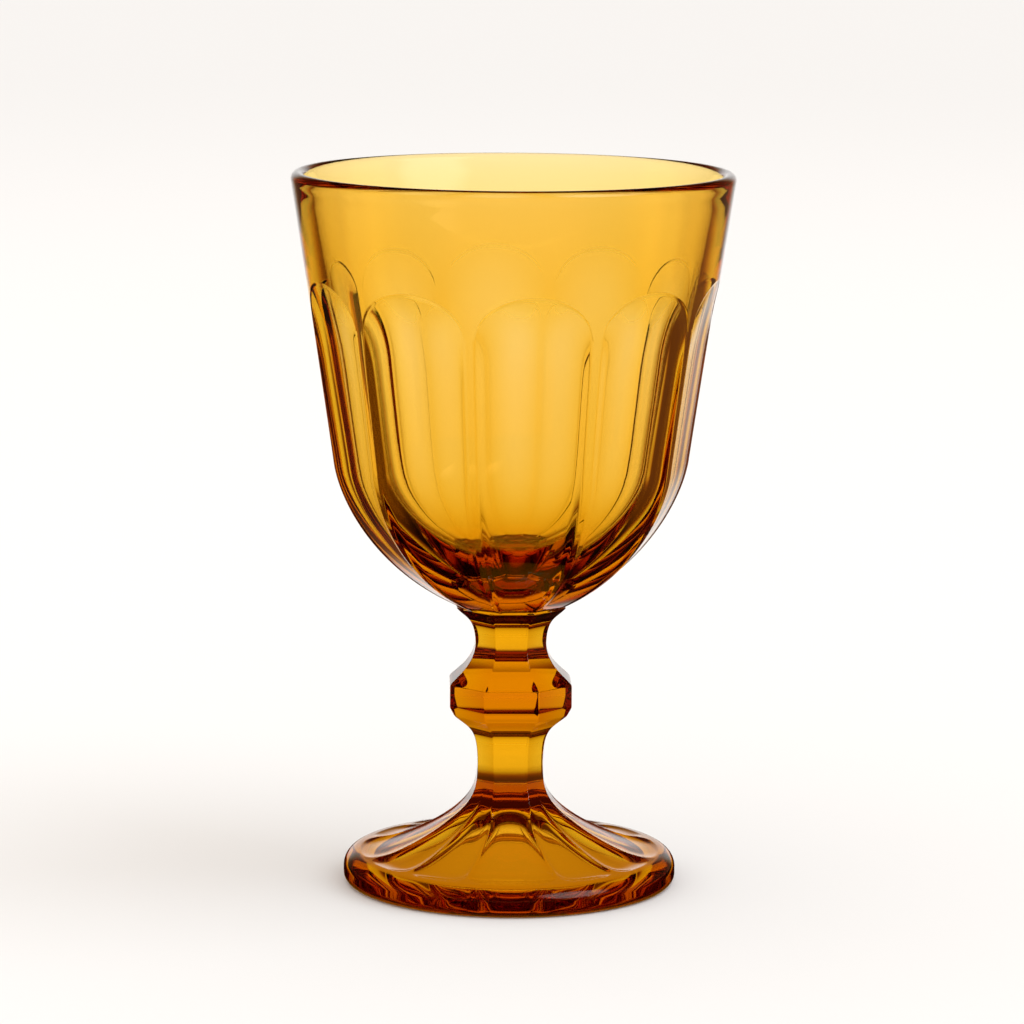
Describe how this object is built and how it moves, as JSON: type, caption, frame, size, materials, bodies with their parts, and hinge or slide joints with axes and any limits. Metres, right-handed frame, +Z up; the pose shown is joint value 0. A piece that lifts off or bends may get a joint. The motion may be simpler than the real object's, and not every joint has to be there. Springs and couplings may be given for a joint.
{
  "type": "water goblet",
  "caption": "Footed water goblet in amber pressed glass, with a panelled bowl, a faceted stem with a knop, and a round foot with radial flutes.",
  "frame": {"origin": "centre of the ring that the foot rests on, on the plane of the table", "axes": "+Z up along the axis of the goblet, -Y towards the front of the picture, +X to its right"},
  "size_m": [0.0922, 0.0922, 0.15],
  "materials": {
    "amber_glass": "clear amber, fire-polished"
  },
  "bodies": {
    "root": {"bowl": "amber_glass", "stem": "amber_glass", "foot": "amber_glass"}
  },
  "joints": []
}
